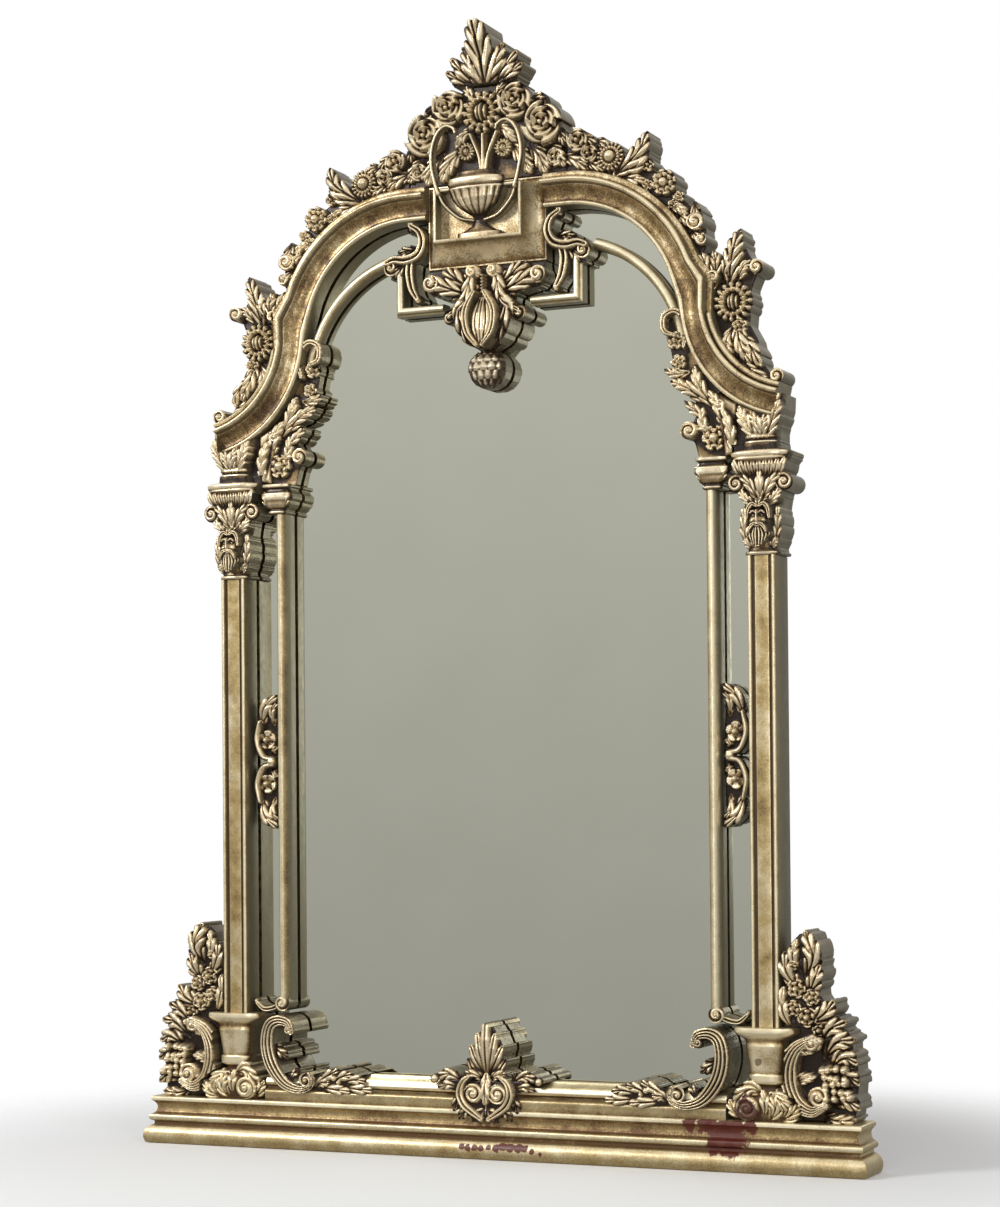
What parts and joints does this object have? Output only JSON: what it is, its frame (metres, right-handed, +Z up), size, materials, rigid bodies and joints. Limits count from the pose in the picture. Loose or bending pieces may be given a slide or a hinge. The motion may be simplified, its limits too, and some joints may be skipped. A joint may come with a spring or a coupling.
{
  "type": "trumeau mirror",
  "caption": "Tall arched mirror in a carved gilt frame: moulded plinth, pilasters with capitals, slim side strips, urn keystone and floral crest.",
  "frame": {"origin": "on the floor plane, under the middle of the whole object: the plinth underside is z = 0, and y = 0 is midway between the urn rim and the hanger eyes", "axes": "+Z up; +X to the right as seen by someone facing the mirror; the mirror faces -Y and its back is at +Y"},
  "size_m": [1.1718, 0.1022, 1.7],
  "materials": {
    "pale_gilt": "champagne gilding over red bole, burnished on the mouldings",
    "gilt": "aged gilding with dark toning in the hollows of the carving",
    "antique_gilt": "stippled brown-gold with bright rubbed edges",
    "silvered_glass": "silvered plate glass, slightly grey",
    "backing_board": "bare board, stained",
    "zinc_fitting": "zinc plated"
  },
  "bodies": {
    "frame": {"base_plinth": "pale_gilt", "sill_rail": "pale_gilt", "right_inner_capital": "pale_gilt", "left_inner_capital": "pale_gilt", "right_inner_stile": "pale_gilt", "left_inner_stile": "pale_gilt", "right_slip_arch": "pale_gilt", "left_slip_arch": "pale_gilt", "right_ear_moulding": "pale_gilt", "left_ear_moulding": "pale_gilt", "right_capital_mask": "pale_gilt", "left_capital_mask": "pale_gilt", "right_pedestal": "gilt", "left_pedestal": "gilt", "right_pilaster": "gilt", "left_pilaster": "gilt", "right_capital": "gilt", "left_capital": "gilt", "urn_relief": "gilt", "right_ear_scroll": "gilt", "left_ear_scroll": "gilt", "pendant_leaf": "gilt", "crest_leaf": "gilt", "crest_bouquet": "gilt", "right_crest_garland": "gilt", "left_crest_garland": "gilt", "right_shoulder_carving": "gilt", "left_shoulder_carving": "gilt", "right_spandrel_carving": "gilt", "left_spandrel_carving": "gilt", "right_arch_foot": "gilt", "left_arch_foot": "gilt", "sill_palmette": "gilt", "right_sill_spray": "gilt", "left_sill_spray": "gilt", "right_inner_scroll": "gilt", "left_inner_scroll": "gilt", "right_bracket": "gilt", "left_bracket": "gilt", "right_stile_ornament": "gilt", "left_stile_ornament": "gilt", "right_outer_arch": "antique_gilt", "left_outer_arch": "antique_gilt", "keystone_frame": "antique_gilt", "pine_cone_drop": "antique_gilt", "center_mirror": "silvered_glass", "right_side_mirror": "silvered_glass", "left_side_mirror": "silvered_glass", "right_crescent_mirror": "silvered_glass", "left_crescent_mirror": "silvered_glass", "back_panel": "backing_board", "right_hanger_strap": "zinc_fitting", "left_hanger_strap": "zinc_fitting"},
    "right_turn_button_1": {"right_turn_button_1": "zinc_fitting"},
    "left_turn_button_1": {"left_turn_button_1": "zinc_fitting"},
    "right_turn_button_2": {"right_turn_button_2": "zinc_fitting"},
    "left_turn_button_2": {"left_turn_button_2": "zinc_fitting"},
    "right_hanging_ring": {"right_hanging_ring": "zinc_fitting"},
    "left_hanging_ring": {"left_hanging_ring": "zinc_fitting"}
  },
  "joints": [
    {"name": "right_button_1_turn", "type": "hinge", "parent": "frame", "child": "right_turn_button_1", "pos_m": [0.44265, 0.04468, 0.35], "axis": [0, 1, 0], "range_deg": [-90, 90]},
    {"name": "right_button_2_turn", "type": "hinge", "parent": "frame", "child": "right_turn_button_2", "pos_m": [0.44265, 0.04468, 0.76], "axis": [0, 1, 0], "range_deg": [-90, 90]},
    {"name": "left_button_1_turn", "type": "hinge", "parent": "frame", "child": "left_turn_button_1", "pos_m": [-0.44265, 0.04468, 0.35], "axis": [0, 1, 0], "range_deg": [-90, 90]},
    {"name": "left_button_2_turn", "type": "hinge", "parent": "frame", "child": "left_turn_button_2", "pos_m": [-0.44265, 0.04468, 0.76], "axis": [0, 1, 0], "range_deg": [-90, 90]},
    {"name": "right_ring_swing", "type": "hinge", "parent": "frame", "child": "right_hanging_ring", "pos_m": [0.448, 0.04715, 0.985], "axis": [1, 0, 0], "range_deg": [0, 165]},
    {"name": "left_ring_swing", "type": "hinge", "parent": "frame", "child": "left_hanging_ring", "pos_m": [-0.448, 0.04715, 0.985], "axis": [1, 0, 0], "range_deg": [0, 165]}
  ]
}
